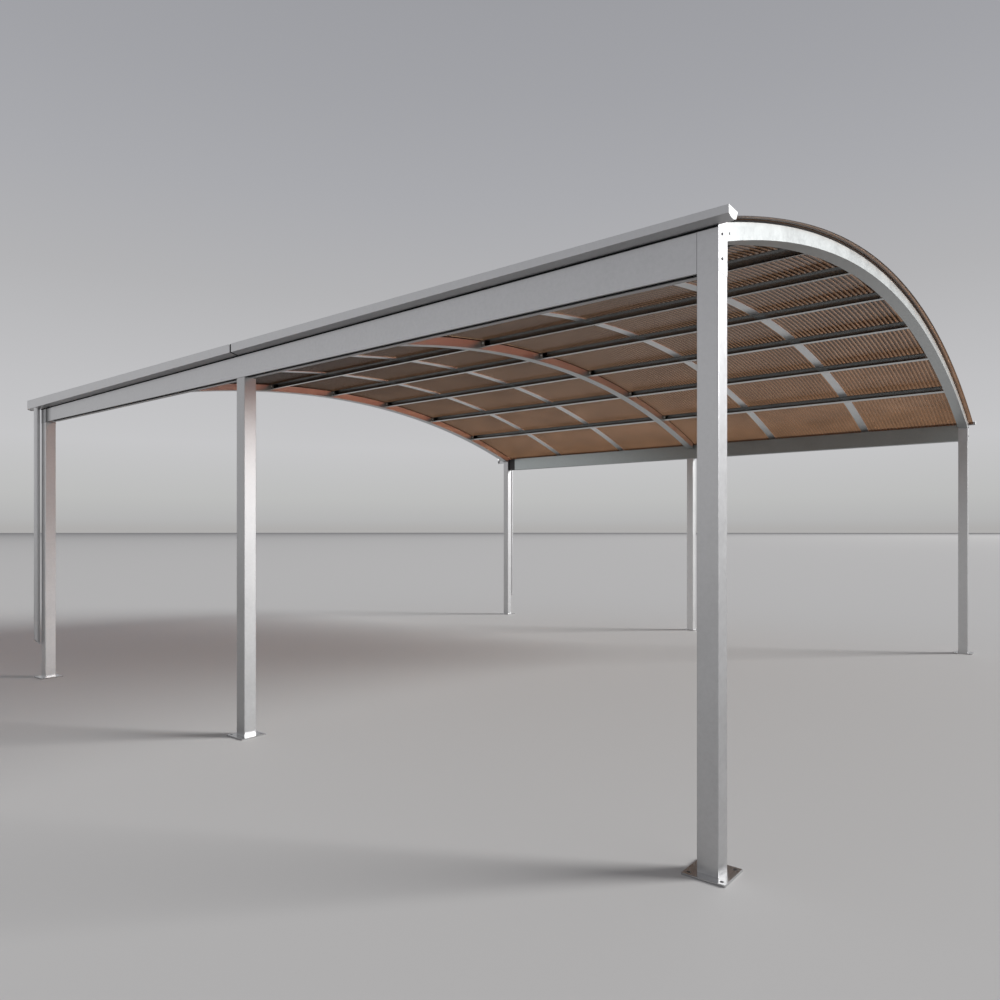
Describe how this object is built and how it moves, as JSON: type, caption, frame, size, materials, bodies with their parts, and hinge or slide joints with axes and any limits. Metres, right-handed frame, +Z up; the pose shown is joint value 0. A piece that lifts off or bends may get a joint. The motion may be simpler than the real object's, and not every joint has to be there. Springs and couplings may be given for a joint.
{
  "type": "carport",
  "caption": "Free-standing open carport: square steel posts on base plates, eaves beams, shallow arches and purlins under a curved corrugated translucent roof, with gutters and downpipes.",
  "frame": {"origin": "on the ground, under the middle of the whole outline", "axes": "+X along the length towards the end away from the downpipes, +Y from the front row of posts to the rear row, across the arches, +Z up"},
  "size_m": [6.045, 6.35, 2.8073],
  "materials": {
    "post_steel": "light grey paint over galvanised steel tube, faintly mottled",
    "plate_steel": "grey paint over steel plate",
    "beam_steel": "light grey paint over steel tube",
    "slip_dark": "dark slip joint",
    "arch_steel": "light grey paint over bent steel tube",
    "purlin_steel": "light grey paint over steel channel",
    "joint_aluminium": "mill finish aluminium profile",
    "roof_polycarbonate": "bronze translucent corrugated sheet",
    "cap_metal": "light grey end cap",
    "gutter_metal": "light grey folded sheet",
    "pipe_metal": "grey round pipe"
  },
  "bodies": {
    "root": {"arch_left": "arch_steel", "arch_middle": "arch_steel", "arch_right": "arch_steel", "base_plates_front": "plate_steel", "base_plates_rear": "plate_steel", "beam_slip_joint_front": "slip_dark", "beam_slip_joint_rear": "slip_dark", "corner_head_front_left": "post_steel", "corner_head_front_right": "post_steel", "corner_head_rear_left": "post_steel", "corner_head_rear_right": "post_steel", "downpipe_front": "pipe_metal", "downpipe_rear": "pipe_metal", "eaves_beam_front": "beam_steel", "eaves_beam_rear": "beam_steel", "gutter_caps_front": "cap_metal", "gutter_caps_rear": "cap_metal", "gutter_front_left": "gutter_metal", "gutter_front_right": "gutter_metal", "gutter_rear_left": "gutter_metal", "gutter_rear_right": "gutter_metal", "joint_covers": "joint_aluminium", "joint_strip_1": "joint_aluminium", "joint_strip_2": "joint_aluminium", "joint_strip_4": "joint_aluminium", "joint_strip_5": "joint_aluminium", "post_front_left": "post_steel", "post_front_middle": "post_steel", "post_front_right": "post_steel", "post_rear_left": "post_steel", "post_rear_middle": "post_steel", "post_rear_right": "post_steel", "purlin_1": "purlin_steel", "purlin_2": "purlin_steel", "purlin_3": "purlin_steel", "purlin_4": "purlin_steel", "purlin_5": "purlin_steel", "purlin_6": "purlin_steel", "purlin_7": "purlin_steel", "roof_sheet_1": "roof_polycarbonate", "roof_sheet_2": "roof_polycarbonate", "roof_sheet_3": "roof_polycarbonate", "roof_sheet_4": "roof_polycarbonate", "roof_sheet_5": "roof_polycarbonate", "roof_sheet_6": "roof_polycarbonate"}
  },
  "joints": []
}
